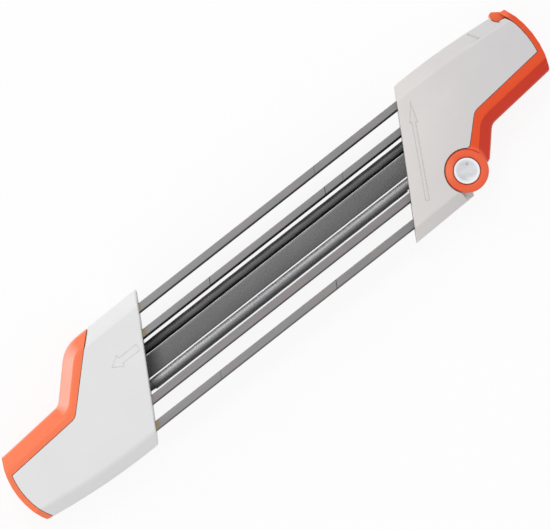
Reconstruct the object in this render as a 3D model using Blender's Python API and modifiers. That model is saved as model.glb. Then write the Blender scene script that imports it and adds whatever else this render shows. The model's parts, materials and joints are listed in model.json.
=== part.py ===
"""A two-in-one guide for filing saw chain: two handles on four steel rails, with two round files and a
flat file held between them, and a latch lever on one handle that lets the files be changed.

Metres, +Z up. The rails run along X and the handle with the lever is at +X. The origin is midway between
the handles, on the plane that the tool lies on.
"""

import math

import bmesh
import bpy
from mathutils import Matrix, Vector

MM = 0.001

# The tool as a whole
overall_height = 30.0 * MM
half_width = 36.6 * MM
handle_length = 95.5 * MM  # inner face to the end of a handle, on the middle line
guide_angle = math.radians(30)  # the handles' inner faces show the filing angle
seam_gap = 0.3 * MM  # between pieces that meet
overrun = 8.0 * MM  # how far a cut runs past what it cuts

# Handle casings
side_chamfer = 6.5 * MM
heel_radius = 18.0 * MM  # corner of the outline where the slope meets the lower edge
grip_radius = 6.0 * MM  # hollow corner where the slope meets the grip
least_radius = 0.25 * MM
shell_wall = 1.8 * MM
inner_wall = 3.0 * MM  # of the slanted inner face
arc_step = math.radians(15)
ring_sides = 48

# Orange band: the trim on the left handle and the latch lever on the right one
band_thickness = 2.6 * MM
band_width = 2.9 * MM  # round the end of the handle, seen from above
band_foot = 2.3 * MM  # the same, between the two faces

# Guide rails
rail_width = 4.8 * MM
rail_height = 6.0 * MM
rail_lift = 1.0 * MM  # middle of the rails above the middle of the handles
rail_edge = 0.9 * MM
outer_rail_offset = 27.35 * MM
inner_rail_offset = 15.2 * MM
inner_rail_depth = 24.0 * MM  # length inside the handle with the lever
rail_tail = 2.0 * MM  # length behind the rail plate
plate_thickness = 3.0 * MM
plate_margin = 2.4 * MM  # steel above the rails
plate_end_margin = 0.9 * MM  # steel past the outer rails

# Files
round_file_diameter = 5.5 * MM
round_file_offset = 8.6 * MM
round_file_drop = 1.65 * MM  # its axis below the rails' underside
cut_length = 200.0 * MM
cut_in_seat = 22.5 * MM  # toothed length inside the handle with the lever
cut_in_left = 3.1 * MM  # the same, inside the other handle
shank_length = 8.0 * MM
shank_diameter = 4.7 * MM
tang_length = 30.0 * MM
tang_tip_diameter = 2.0 * MM
file_edge = 0.5 * MM
flat_file_width = 10.0 * MM
flat_file_thickness = 4.0 * MM
flat_file_drop = 0.65 * MM  # its underside below the rails' underside
flat_file_setback = 5.0 * MM  # its toothed length ends this much before the round ones'
flat_shoulder = 3.0 * MM
flat_tang_width = 5.6 * MM

# File seats
seat_cover = 2.2 * MM  # above the flat file
seat_back = 4.0 * MM  # past the files' ends

# Latch lever and its pivot
ring_radius = 11.7 * MM
ring_from_edge = 1.0 * MM  # ring to the casing's lower edge
ring_from_slope = 0.3 * MM  # ring to the arm's outer face
ring_thickness = 4.0 * MM
ring_bore_radius = 7.25 * MM
ring_edge = 1.5 * MM
ring_side_gap = 0.4 * MM
root_fillet = 2.5 * MM  # where the arm leaves the ring
heel_angle = math.radians(-18.7)  # where the arm's wall begins, about the pivot
heel_cut_angle = math.radians(20)
lever_opening = math.radians(90)
stop_margin_angle = math.radians(2.3)
pocket_width = 9.3 * MM  # pocket beside the ring, from the pivot
pocket_depth = 6.8 * MM
hook_depth = 5.2 * MM
hook_from_face = 8.0 * MM  # the hook's top and bottom below the handle's faces
hook_clearance = 0.4 * MM
hook_angle = math.radians(3.5)

# Cam shaft and pivot caps
shaft_radius = 3.2 * MM
shaft_square = 4.4 * MM
shaft_key_length = 1.6 * MM
cam_start = 3.4 * MM  # pivot to rail end with the lever shut
cam_rise = 3.1 * MM  # travel for each radian of lever
cam_height = 8.0 * MM
cam_room = 0.5 * MM
cap_rim = 1.1 * MM
cap_dish = 0.7 * MM
cap_set_in = 0.3 * MM  # rim below the ring's face
boss_wall = 2.2 * MM

# Casing screws
screw_shank_radius = 1.3 * MM
screw_head_radius = 2.7 * MM
screw_head_height = 2.0 * MM
screw_head_depth = 1.6 * MM  # head below the underside
screw_cover = 2.0 * MM  # plastic past the screw's point
screw_slot_width = 0.7 * MM
screw_slot_depth = 0.9 * MM
screw_boss_radius = 3.2 * MM
screw_from_face = 11.6 * MM

# Outlines, seen from above with the inner face to the left. X is a share of the handle's length and Y a
# share of the half width. The left handle is the same way round once it is turned half a turn.
lever_side_shares = {
    "lower_start": (-0.218, -0.996),
    "heel": (0.294, -0.959),
    "grip": (0.515, -0.311),
    "lower_end": (0.982, -0.203),
    "upper_end": (0.930, 0.895),
    "upper_middle": (0.574, 0.986),
    "upper_start": (0.214, 1.0),
    "band_corner": (0.480, -0.013),
    "band_end": (0.956, 0.104),
    "end_middle": (0.9985, 0.361),
}
trim_side_shares = {
    "lower_start": (-0.218, -1.002),
    "heel": (0.290, -0.984),
    "grip": (0.518, -0.363),
    "lower_end": (0.982, -0.266),
    "upper_end": (0.919, 0.850),
    "upper_middle": (0.563, 0.953),
    "upper_start": (0.214, 0.975),
    "band_tip": (0.126, -0.993),
    "band_corner": (0.484, -0.071),
    "band_end": (0.963, 0.017),
    "end_middle": (1.0, 0.311),
}
lever_end_radius_share = 0.53
trim_end_radius_share = 0.46
end_arc_half_angle = math.radians(36)
screw_end_shares = (0.75, 0.35)
# The hook, from its nose round to the band: depth past its inner side, and turn about the pivot.
hook_profile_shares = (
    (0.42, 0.98),
    (0.64, 1.06),
    (0.86, 0.86),
    (1.05, 0.0),
    (1.04, -0.6),
    (0.36, -1.8),
    (0.58, -0.6),
    (0.30, -0.30),
    (0.0, -0.18),
    (0.0, 0.42),
    (0.06, 0.62),
)
hook_path_shares = (-5, -3, -1, 1)  # the way it swings out through the casing

guide_half_gap = (cut_length - cut_in_seat - cut_in_left) / 2  # middle of the tool to an inner face
cut_end = guide_half_gap + cut_in_seat
middle_height = overall_height / 2
rail_floor = middle_height + rail_lift - rail_height / 2
rail_top = rail_floor + rail_height
round_file_axis = rail_floor - round_file_drop
round_file_radius = round_file_diameter / 2
flat_file_floor = rail_floor - flat_file_drop
flat_file_top = flat_file_floor + flat_file_thickness
cut_start = cut_end - cut_length
file_floor = round_file_axis - round_file_radius
casing_inset = band_thickness + seam_gap  # the casing under the orange band
cavity_inset = casing_inset + shell_wall
far_x = guide_half_gap + handle_length + overrun
far_y = half_width + overrun
cam_stroke = cam_rise * lever_opening


def along(point, other, share):
    """The point a share of the way from one point to another."""
    return point + (other - point) * share


def polar(centre, radius, angle):
    return centre + Vector((math.cos(angle), math.sin(angle))) * radius


def crossing(first, first_way, second, second_way):
    """Where two lines in the plane meet, each given by a point and a direction."""
    turn = first_way.x * second_way.y - first_way.y * second_way.x
    gap = second - first
    return first + first_way * ((gap.x * second_way.y - gap.y * second_way.x) / turn)


def left_of(start, end):
    """The unit normal on the left of a line."""
    way = (end - start).normalized()
    return Vector((-way.y, way.x))


def inset(points, distance):
    """A closed anticlockwise outline moved inwards."""
    moved = []
    for place, here in enumerate(points):
        first = left_of(points[place - 1], here)
        second = left_of(here, points[(place + 1) % len(points)])
        moved.append(here + (first + second) * (distance / (1 + first.dot(second))))
    return moved


def arc(centre, radius, start, end, count):
    """Points along an arc, both ends among them."""
    return [polar(centre, radius, start + (end - start) * step / count) for step in range(count + 1)]


def arc_through(first, middle, last, count):
    """Points along the arc through three points."""
    half = (first + middle) / 2
    other_half = (middle + last) / 2
    centre = crossing(half, left_of(first, middle), other_half, left_of(middle, last))
    start, end = (math.atan2((p - centre).y, (p - centre).x) for p in (first, last))
    if end < start:
        end += 2 * math.pi
    return arc(centre, (first - centre).length, start, end, count)


def rounded(before, corner, after, radius):
    """The arc that rounds a corner."""
    arriving = (corner - before).normalized()
    leaving = (after - corner).normalized()
    turn = math.atan2(arriving.x * leaving.y - arriving.y * leaving.x, arriving.dot(leaving))
    side = math.copysign(1, turn)
    start = corner - arriving * radius * math.tan(abs(turn) / 2)
    centre = start + Vector((-arriving.y, arriving.x)) * radius * side
    first = math.atan2((start - centre).y, (start - centre).x)
    return arc(centre, radius, first, first + turn, max(2, math.ceil(abs(turn) / arc_step)))


class Outline:
    """A handle's outline seen from above, with its inner face on the left."""

    def __init__(self, shares, end_radius_share):
        self.points = {name: self.place(share) for name, share in shares.items()}
        self.end_radius = end_radius_share * handle_length

    @staticmethod
    def place(share):
        return Vector((guide_half_gap + share[0] * handle_length, share[1] * half_width))

    def long_sides(self, depth):
        """The long edges, run on past both ends and moved inwards by a depth."""
        p = self.points
        lower_start = Vector((p["lower_start"].x - overrun, p["lower_start"].y))
        lower_end = along(p["grip"], p["lower_end"], (far_x - p["grip"].x) / (p["lower_end"] - p["grip"]).x)
        upper = arc_through(p["upper_end"], p["upper_middle"], p["upper_start"], 6)
        upper_end = along(upper[1], upper[0], (far_x - upper[1].x) / (upper[0] - upper[1]).x)
        upper_start = Vector((p["lower_start"].x - overrun, p["upper_start"].y))
        corners = [lower_start, p["heel"], p["grip"], lower_end, upper_end, *upper, upper_start]
        moved = inset(corners, depth)
        heel = rounded(moved[0], moved[1], moved[2], max(least_radius, heel_radius - depth))
        grip = rounded(moved[1], moved[2], moved[3], grip_radius + depth)
        return [moved[0], *heel, *grip, *moved[3:]]

    def ends(self, inner, end):
        """The outline between the inner face and the end of the handle, each moved inwards."""
        face = [
            Vector((inner_face_x(y) + inner / math.cos(guide_angle), y)) for y in (far_y, -far_y)
        ]
        tip = self.points["end_middle"]
        centre = Vector((tip.x - self.end_radius, tip.y))
        curve = arc(centre, self.end_radius - end, -end_arc_half_angle, end_arc_half_angle, 10)
        return [face[1], Vector((curve[0].x, -far_y)), *curve, Vector((curve[-1].x, far_y)), face[0]]

    def band_edge(self):
        """The orange band's edge against the pale casing, from the far side of the end to the grip."""
        p = self.points
        tip = p["end_middle"]
        centre = Vector((tip.x - self.end_radius, tip.y))
        radius = self.end_radius - band_width
        low = math.asin((p["band_end"].y - centre.y) / radius)
        curve = arc(centre, radius, end_arc_half_angle, low, 8)
        return [Vector((curve[0].x, far_y)), *curve]


def inner_face_x(y):
    """Where the slanted inner face lies at a distance from the middle line."""
    return guide_half_gap + y * math.tan(guide_angle)


lever_outline = Outline(lever_side_shares, lever_end_radius_share)
trim_outline = Outline(trim_side_shares, trim_end_radius_share)


def heel_centre():
    """The pivot, with the lever's ring just inside the lower edge and the slope."""
    p = lever_outline.points
    edge, slope = left_of(p["lower_start"], p["heel"]), left_of(p["heel"], p["grip"])
    on_edge = p["heel"] + edge * (ring_radius + ring_from_edge)
    on_slope = p["heel"] + slope * (ring_radius + ring_from_slope)
    return crossing(on_edge, p["heel"] - p["lower_start"], on_slope, p["grip"] - p["heel"])


pivot = heel_centre()
hook_corner = lever_outline.points["upper_end"]
hook_radius = (hook_corner - pivot).length - hook_depth  # the hook's path clears what lies inside this
hook_place = math.atan2((hook_corner - pivot).y, (hook_corner - pivot).x)
rail_stop = pivot.x - cam_start - seam_gap  # end of the rail that the cam bears on
outer_rail_depth = rail_stop - inner_face_x(-outer_rail_offset)


def clear_scene():
    for old in list(bpy.data.objects):
        bpy.data.objects.remove(old)


def collection_named(name):
    made = bpy.data.collections.new(name)
    bpy.context.scene.collection.children.link(made)
    return made


clear_scene()
guide = collection_named("chainsaw_file_guide")
cutters = collection_named("cutters")


def group_at(name, place=(0, 0, 0), turn=0.0, parent=None):
    """An empty that carries pieces."""
    empty = bpy.data.objects.new(name, None)
    empty.location = place
    empty.rotation_euler.z = turn
    empty.parent = parent
    guide.objects.link(empty)
    return empty


def material(name, colour, roughness, metallic=0.0):
    made = bpy.data.materials.new(name)
    made.use_nodes = True
    shader = made.node_tree.nodes["Principled BSDF"]
    shader.inputs["Base Color"].default_value = (*colour, 1)
    shader.inputs["Roughness"].default_value = roughness
    shader.inputs["Metallic"].default_value = metallic
    return made


def new_object(name, bm, parent=None, helper=False):
    """An object of a finished mesh, among the cutters if it only helps to shape others."""
    bmesh.ops.recalc_face_normals(bm, faces=bm.faces)
    mesh = bpy.data.meshes.new(name)
    bm.to_mesh(mesh)
    bm.free()
    made = bpy.data.objects.new(name, mesh)
    made.parent = parent
    (cutters if helper else guide).objects.link(made)
    made.hide_render = helper
    if helper:
        made.display_type = "WIRE"
    return made


def shown(made):
    """Takes a form out of the cutters, to be a piece of its own."""
    cutters.objects.unlink(made)
    guide.objects.link(made)
    made.hide_render = False
    made.display_type = "TEXTURED"
    return made


def finish(made, finish_material):
    """Gives a piece its material and its smooth round faces."""
    made.data.materials.clear()
    made.data.materials.append(finish_material)
    made.data.shade_smooth()
    made.data.set_sharp_from_angle(angle=math.radians(35))
    return made


def raised(name, levels, parent=None, helper=True):
    """An outline raised through levels, each a list of points and a height. The lists are equally long."""
    bm = bmesh.new()
    corner = bm.verts.layers.int.new("corner")
    points, height = levels[0]
    ring = [bm.verts.new((point.x, point.y, height)) for point in points]
    for place, vert in enumerate(ring):
        vert[corner] = place
    top = bm.faces.new(ring)
    for points, height in levels[1:]:
        grown = bmesh.ops.extrude_face_region(bm, geom=[top, *top.edges])["geom"]
        top = next(item for item in grown if isinstance(item, bmesh.types.BMFace))
        for vert in top.verts:
            vert.co = (*points[vert[corner]], height)
    return new_object(name, bm, parent, helper)


def prism(name, points, low, high, parent=None, helper=True):
    return raised(name, [(points, low), (points, high)], parent, helper)


def box(name, low, high, parent=None, helper=True):
    bm = bmesh.new()
    low, high = Vector(low), Vector(high)
    size = Matrix.Diagonal((*(high - low), 1))
    bmesh.ops.create_cube(bm, size=1, matrix=Matrix.Translation((low + high) / 2) @ size)
    return new_object(name, bm, parent, helper)


def cylinder(name, centre, radius, low, high, parent=None, helper=True, sides=32):
    """An upright cylinder."""
    bm = bmesh.new()
    place = Matrix.Translation((centre.x, centre.y, (low + high) / 2))
    bmesh.ops.create_cone(
        bm, cap_ends=True, segments=sides, radius1=radius, radius2=radius, depth=high - low, matrix=place
    )
    return new_object(name, bm, parent, helper)


def turned(name, profile, parent=None, helper=False, steps=32):
    """A profile of radius and height, from the top down its outer side, turned about Z."""
    bm = bmesh.new()
    points = [bm.verts.new((radius, 0, height)) for radius, height in profile]
    for before, after in zip(points, points[1:]):
        bm.edges.new((before, after))
    if profile[0][0] > 0:
        bm.edges.new((points[-1], points[0]))
    made = new_object(name, bm, parent, helper)
    screw = made.modifiers.new("turn", "SCREW")
    screw.steps = screw.render_steps = steps
    screw.use_merge_vertices = True
    screw.merge_threshold = 0.00001
    return made


def combine(target, other, operation="DIFFERENCE"):
    modifier = target.modifiers.new(other.name, "BOOLEAN")
    modifier.operation = operation
    modifier.object = other
    modifier.solver = "EXACT"


def join(target, other):
    combine(target, other, "UNION")


def handle_body(name, outline, depth, inner, end, parent):
    """A handle's whole form, moved inwards by a depth: chamfered long sides, cut off at both ends."""
    leg = side_chamfer - depth * (2 - math.sqrt(2))
    low = depth
    high = overall_height - depth
    wide = outline.long_sides(depth)
    narrow = outline.long_sides(depth + leg)
    body = raised(name, [(narrow, low), (wide, low + leg), (wide, high - leg), (narrow, high)], parent)
    ends = prism(name + "_ends", outline.ends(inner, end), -overrun, overall_height + overrun, parent)
    combine(body, ends, "INTERSECT")
    return body


def band_region(outline, name, grow, parent):
    """The prism, seen from above, that the orange band takes from a handle."""
    p = outline.points
    edge = outline.band_edge()
    corner = rounded(edge[-1], p["band_corner"], band_root(outline), grip_radius)
    if outline is lever_outline:
        heel = polar(pivot, ring_radius - seam_gap, heel_angle)
        heel_out = polar(heel, handle_length / 4, heel_cut_angle)
        start = [pivot, heel, heel_out, Vector((far_x, heel_out.y))]
        corner += root_curve()
    else:
        tip_out = along(p["band_corner"], p["band_tip"], 1.3)
        start = [tip_out, Vector((far_x, tip_out.y))]
    points = [*start, Vector((far_x, far_y)), *edge, *corner]
    return prism(name, inset(points, -grow), -overrun, overall_height + overrun, parent)


def band_root(outline):
    return pivot if outline is lever_outline else outline.points["band_tip"]


def root_curve():
    """The hollow curve by which the arm's inner edge runs into the ring."""
    way = lever_outline.points["band_corner"] - pivot
    arm = math.atan2(way.y, way.x)
    lean = math.asin(root_fillet / (ring_radius + root_fillet))
    centre = polar(pivot, ring_radius + root_fillet, arm + lean)
    return arc(centre, root_fillet, arm - math.pi / 2, arm + lean - math.pi, 4)


def rail_places():
    return {
        "outer_rail_upper": (outer_rail_offset, outer_rail_depth),
        "inner_rail_upper": (inner_rail_offset, inner_rail_depth),
        "inner_rail_lower": (-inner_rail_offset, inner_rail_depth),
        "outer_rail_lower": (-outer_rail_offset, outer_rail_depth),
    }


def rail_slots(handle, name, growth):
    """Boxes round the rails' ends, in a handle's own frame."""
    made = []
    for rail, (y, depth) in rail_places().items():
        reach = depth if handle is lever_outline else inner_wall + plate_thickness + rail_tail
        low = (inner_face_x(y) - overrun, y - rail_width / 2 - growth, rail_floor - growth)
        high = (inner_face_x(y) + reach + 3 * growth, y + rail_width / 2 + growth, rail_top + growth)
        made.append(box(f"{name}_{rail}_slot", low, high))
    return made


def screw_places():
    """Between the inner and the outer rails near the face, and near the end of the handle."""
    between = (outer_rail_offset + inner_rail_offset) / 2
    near = [Vector((inner_face_x(y) + screw_from_face, y)) for y in (between, -between)]
    return [*near, Outline.place(screw_end_shares)]


def casing(name, outline, parent):
    """Both shells of a handle in one, before they are parted."""
    body = handle_body(name, outline, 0, 0, 0, parent)
    under_band_end = band_foot + seam_gap
    under_band = handle_body(name + "_under_band", outline, casing_inset, -overrun, under_band_end, parent)
    step = band_region(outline, name + "_band_step", seam_gap, parent)
    combine(step, under_band)
    combine(body, step)
    cavity_end = under_band_end + shell_wall
    cavity = handle_body(name + "_cavity", outline, cavity_inset, inner_wall, cavity_end, parent)
    if outline is lever_outline:
        wall = hook_path("hook_wall", hook_clearance + shell_wall, -overrun, parent)
        combine(cavity, wall)
    combine(body, cavity)
    for number, place in enumerate(screw_places(), 1):
        low = cavity_inset - shell_wall / 2
        boss = cylinder(f"{name}_boss_{number}", place, screw_boss_radius, low, overall_height - low, parent)
        join(body, boss)
    for slot in rail_slots(outline, name, seam_gap):
        slot.parent = parent
        combine(body, slot)
    combine(body, file_window(name, parent))
    for number, place in enumerate(screw_places(), 1):
        for hole in screw_holes(f"{name}_screw_hole_{number}", place, parent):
            combine(body, hole)
    return body


def file_window(name, parent):
    """The opening in the inner face that all three files pass through."""
    side = round_file_offset + round_file_radius + seam_gap
    low = (inner_face_x(-side) - overrun, -side, file_floor - seam_gap)
    reach = (inner_wall + plate_thickness) / math.cos(guide_angle) + overrun
    high = (inner_face_x(side) + reach, side, flat_file_top + seam_gap)
    return box(name + "_file_window", low, high, parent)


def screw_holes(name, place, parent):
    shoulder = screw_head_depth + screw_head_height + seam_gap
    end = overall_height - cavity_inset - screw_cover + shell_wall
    head = cylinder(name + "_head", place, screw_head_radius + seam_gap, -overrun, shoulder, parent)
    shank = cylinder(name + "_shank", place, screw_shank_radius + seam_gap, 0, end, parent, sides=16)
    return head, shank


def part_shells(body, side, shell_material, parent):
    """The upper and lower shells of a handle, parted at half its height."""
    halves = {
        "upper": (middle_height + seam_gap / 2, overall_height + overrun),
        "lower": (-overrun, middle_height - seam_gap / 2),
    }
    for half, (low, high) in halves.items():
        shell = box(
            f"{side}_{half}_shell", (-far_x, -far_y, low), (far_x + overrun, far_y, high), parent, False
        )
        combine(shell, body, "INTERSECT")
        finish(shell, shell_material)


def hook_outline():
    """The hook seen from above, anticlockwise."""
    points = [
        polar(pivot, hook_radius + radial * hook_depth, hook_place + turn * hook_angle)
        for radial, turn in hook_profile_shares
    ]
    return points[::-1]


def hook_path(name, clearance, low, parent):
    """The way of the swinging hook: all that lies further out than its inner side less a clearance."""
    points = [
        polar(pivot, hook_radius - clearance, hook_place + turn * hook_angle) for turn in hook_path_shares
    ]
    points += [Vector((points[-1].x, far_y)), Vector((far_x, far_y)), Vector((far_x, points[0].y))]
    return prism(name, points[::-1], low, overall_height - low, parent)


def lever_room(body, parent):
    """What the casing gives up to the lever: seats for its rings, the path of its heel and its hook."""
    top = overall_height
    stop = heel_angle - lever_opening - stop_margin_angle
    knuckle_radius = ring_radius - seam_gap - seam_gap - seam_gap / 2
    sweep = [*arc(pivot, knuckle_radius, 0, stop, 12), *arc(pivot, handle_length / 3, stop, 0, 6)]
    combine(body, prism("heel_path", sweep[::-1], -overrun, top + overrun, parent))
    edge = ring_radius + ring_side_gap
    face_x = pivot.x - pocket_width
    turn = math.pi - math.acos(pocket_width / (edge - seam_gap))
    near = arc(pivot, edge - seam_gap, stop, -turn, 3)
    pocket = [*near, Vector((face_x, -far_y)), Vector((near[0].x, -far_y))]
    path_low = hook_from_face - seam_gap
    combine(body, hook_path("hook_path", hook_clearance, path_low, parent))
    room = inset(hook_outline(), -hook_clearance)
    combine(body, prism("hook_room", room, -overrun, top + overrun, parent))
    pockets = {"top": (top - pocket_depth, top + overrun), "under": (-overrun, pocket_depth)}
    for face, (low, high) in pockets.items():
        combine(body, prism(f"{face}_pocket", pocket, low, high, parent))
    seat = ring_thickness + seam_gap
    seats = {"top": (top - seat, top + overrun), "under": (-overrun, seat)}
    for face, (low, high) in seats.items():
        combine(body, cylinder(f"{face}_ring_seat", pivot, edge, low, high, parent, sides=ring_sides))
    bore = cylinder("shaft_bore", pivot, shaft_radius + seam_gap, 0, top, parent)
    room = math.hypot(cam_start + cam_stroke, cam_rise) + cam_room
    cam_space = cylinder(
        "cam_space",
        pivot,
        room,
        middle_height - cam_height / 2 - seam_gap,
        middle_height + cam_height / 2 + seam_gap,
        parent,
        sides=ring_sides,
    )
    return bore, cam_space


def shaft_boss(parent):
    low = cavity_inset - shell_wall / 2
    return cylinder("shaft_boss", pivot, shaft_radius + boss_wall, low, overall_height - low, parent)


def ring(name, low, high, flip, parent):
    """One of the lever's two rings, its outer face rounded on both edges."""
    inner, outer = ring_bore_radius, ring_radius
    face = high if flip > 0 else low
    back = low if flip > 0 else high
    turn = math.pi / 2
    steps = (0, 1 / 3, 2 / 3, 1)
    outer_edge = [
        (outer - ring_edge * (1 - math.sin(turn * s)), face - flip * ring_edge * (1 - math.cos(turn * s)))
        for s in steps
    ]
    inner_edge = [
        (inner + ring_edge * (1 - math.cos(turn * s)), face - flip * ring_edge * (1 - math.sin(turn * s)))
        for s in steps
    ]
    profile = [*outer_edge, (outer, back), (inner, back), *inner_edge]
    if flip < 0:
        profile.reverse()
    made = turned(name, profile, parent, True, steps=ring_sides)
    made.location = (*pivot, 0)
    return made


def latch_lever(lever_material, parent):
    """The arm is cut from the handle's form, so that its faces run flush with the casing."""
    arm = shown(handle_body("latch_lever", lever_outline, 0, 0, 0, parent))
    combine(arm, band_region(lever_outline, "lever_region", 0, parent), "INTERSECT")
    combine(arm, handle_body("inside_lever", lever_outline, band_thickness, -overrun, band_foot, parent))
    far_top = overall_height + overrun
    half_side = math.pi / ring_sides  # turned by this, so that its corners miss those of the rings
    rim = arc(pivot, ring_radius - seam_gap / 2, half_side, 2 * math.pi - half_side, ring_sides - 1)
    ring_space = prism("ring_space", rim, -overrun, far_top, parent)
    combine(arm, ring_space)
    join(arm, ring("top_ring", overall_height - ring_thickness, overall_height, 1, parent))
    join(arm, ring("under_ring", 0, ring_thickness, -1, parent))
    join(arm, prism("hook", hook_outline(), hook_from_face, overall_height - hook_from_face, parent))
    finish(arm, lever_material)
    return arm


def cam_profile():
    """A cam that moves a flat face in step with its turning: its edge is the involute of a circle."""
    count = 8
    lobe = []
    for step in range(count + 1):
        turn = lever_opening * step / count
        reach = cam_start + cam_rise * turn
        angle = math.atan2(-cam_rise, -reach) + turn
        lobe.append(Vector((math.cos(angle), math.sin(angle))) * math.hypot(reach, cam_rise))
    last = math.atan2(lobe[-1].y, lobe[-1].x)
    first = math.atan2(lobe[0].y, lobe[0].x)
    back = arc(Vector((0, 0)), shaft_radius, last + math.pi / 3, first + 2 * math.pi - math.pi / 6, 10)
    return [point + pivot for point in (*lobe, *back)]


def cam_shaft(shaft_material, parent):
    """The shaft that the lever turns, its ends squared to drive it and its cam at half height."""
    low = ring_thickness + seam_gap
    high = overall_height - low
    shaft = cylinder("cam_shaft", pivot, shaft_radius, low, high, parent, False)
    half = shaft_square / 2
    square = box(
        "shaft_square",
        (pivot.x - half, pivot.y - half, low - shaft_key_length),
        (pivot.x + half, pivot.y + half, high + shaft_key_length),
        parent,
    )
    join(shaft, square)
    cam_floor = middle_height - cam_height / 2
    join(shaft, prism("cam_lobe", cam_profile(), cam_floor, cam_floor + cam_height, parent))
    return finish(shaft, shaft_material)


def pivot_cap(name, face_up, cap_material, parent):
    """A dished cap on the shaft's square end, inside the lever's ring."""
    radius = ring_bore_radius - seam_gap
    dish = radius - cap_rim
    base = overall_height - ring_thickness
    top = overall_height - cap_set_in
    hollow = [(dish * step / 5, top - cap_dish * (1 - (step / 5) ** 2)) for step in range(6)]
    rim = [(radius - cap_rim / 2, top), (radius, top - cap_rim / 2)]
    profile = [*hollow, *rim, (radius, base), (0, base)]
    cap = turned(name, profile, parent)
    half = shaft_square / 2 + seam_gap
    socket = box(
        name + "_socket",
        (-half, -half, -overrun),
        (half, half, overall_height - ring_thickness - seam_gap + shaft_key_length + seam_gap),
        parent,
    )
    for made in (cap, socket):
        made.location = (*pivot, 0 if face_up else overall_height)
        made.rotation_euler.x = 0 if face_up else math.pi
    combine(cap, socket)
    return finish(cap, cap_material)


def guide_rail(name, y, depth, rail_material, parent):
    start = -inner_face_x(-y) - (inner_wall + plate_thickness + rail_tail) / math.cos(guide_angle)
    end = inner_face_x(y) + depth
    half = rail_width / 2
    rail = box(name, (start, y - half, rail_floor), (end, y + half, rail_top), parent, False)
    edges = rail.modifiers.new("edges", "BEVEL")
    edges.width = rail_edge
    edges.segments = 2
    edges.limit_method = "ANGLE"
    return finish(rail, rail_material)


def round_file(name, y, growth, parent, helper=False):
    """The toothed length, a plain shank and a tapered tang, turned about the file's own axis."""
    radius = round_file_radius + growth
    shank = shank_diameter / 2 + growth
    tip = tang_tip_diameter / 2 + growth
    edge = file_edge
    profile = [
        (0, growth),
        (radius - edge, growth),
        (radius, growth - edge),
        (radius, -cut_length - growth + edge),
        (shank, -cut_length - growth),
        (shank, -cut_length - shank_length),
        (tip, -cut_length - shank_length - tang_length - growth),
        (0, -cut_length - shank_length - tang_length - growth),
    ]
    made = turned(name, profile, parent, helper, steps=24)
    made.location = (cut_end, y, round_file_axis)
    made.rotation_euler.y = math.pi / 2
    return made


def flat_file(name, growth, parent, helper=False):
    """A flat blade with square shoulders and a tapered tang, safe edges on both sides."""
    half = flat_file_width / 2 + growth
    tang = flat_tang_width / 2 + growth
    tip = tang_tip_diameter / 2 + growth
    end = cut_end - flat_file_setback + growth
    shoulder = cut_start - growth
    tang_end = cut_start - flat_shoulder - tang_length - growth
    points = [
        Vector((end, -half)),
        Vector((end, half)),
        Vector((shoulder, half)),
        Vector((shoulder - flat_shoulder, tang)),
        Vector((tang_end, tip)),
        Vector((tang_end, -tip)),
        Vector((shoulder - flat_shoulder, -tang)),
        Vector((shoulder, -half)),
    ]
    low = flat_file_floor - growth
    return prism(name, points, low, flat_file_top + growth, parent, helper)


def file_rooms(parent):
    """The files, a clearance larger, as cutters for their seats."""
    return [
        round_file("upper_file_room", round_file_offset, seam_gap, parent, True),
        round_file("lower_file_room", -round_file_offset, seam_gap, parent, True),
        flat_file("flat_file_room", seam_gap, parent, True),
    ]


def file_seat(name, outline, behind, end, seat_material, parent, rooms):
    """A moulded block that the ends of all three files seat in, its face along the handle's inner face."""
    side = inner_rail_offset - rail_width / 2 - seam_gap
    clear = behind / math.cos(guide_angle)
    low = Vector((inner_face_x(-side) + clear, -side))
    high = Vector((inner_face_x(side) + clear, side))
    points = [low, Vector((end, -side)), Vector((end, side)), high]
    floor = cavity_inset + seam_gap
    seat = prism(name, points, floor, flat_file_top + seat_cover, parent, False)
    inside = handle_body(name + "_space", outline, floor, behind, band_width + cavity_inset, parent)
    combine(seat, inside, "INTERSECT")
    for room in rooms:
        combine(seat, room)
    return finish(seat, seat_material)


def rail_plate(plate_material, parent):
    """The steel cross plate that the rails are welded to, along the handle's inner face."""
    half_length = (outer_rail_offset + rail_width / 2 + plate_end_margin) / math.cos(guide_angle)
    start = inner_wall + seam_gap
    face = [
        Vector((inner_face_x(0) + distance / math.cos(guide_angle), 0))
        for distance in (start, start + plate_thickness)
    ]
    way = Vector((math.sin(guide_angle), math.cos(guide_angle)))
    points = [face[0] - way * half_length, face[1] - way * half_length, face[1] + way * half_length]
    points.append(face[0] + way * half_length)
    plate = prism("rail_plate", points, file_floor, rail_top + plate_margin, parent, False)
    depth = cavity_inset + seam_gap
    space = handle_body("rail_plate_space", trim_outline, depth, start, casing_inset, parent)
    combine(plate, space, "INTERSECT")
    for slot in rail_slots(trim_outline, "plate", seam_gap):
        slot.parent = parent
        combine(plate, slot)
    combine(plate, file_window("plate", parent))
    return finish(plate, plate_material)


def grip_trim(trim_material, parent):
    """The orange band on the left handle: it wraps both faces and the end in one piece."""
    band = shown(handle_body("left_grip_trim", trim_outline, 0, 0, 0, parent))
    combine(band, band_region(trim_outline, "trim_region", 0, parent), "INTERSECT")
    combine(band, handle_body("inside_trim", trim_outline, band_thickness, -overrun, band_foot, parent))
    return finish(band, trim_material)


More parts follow.
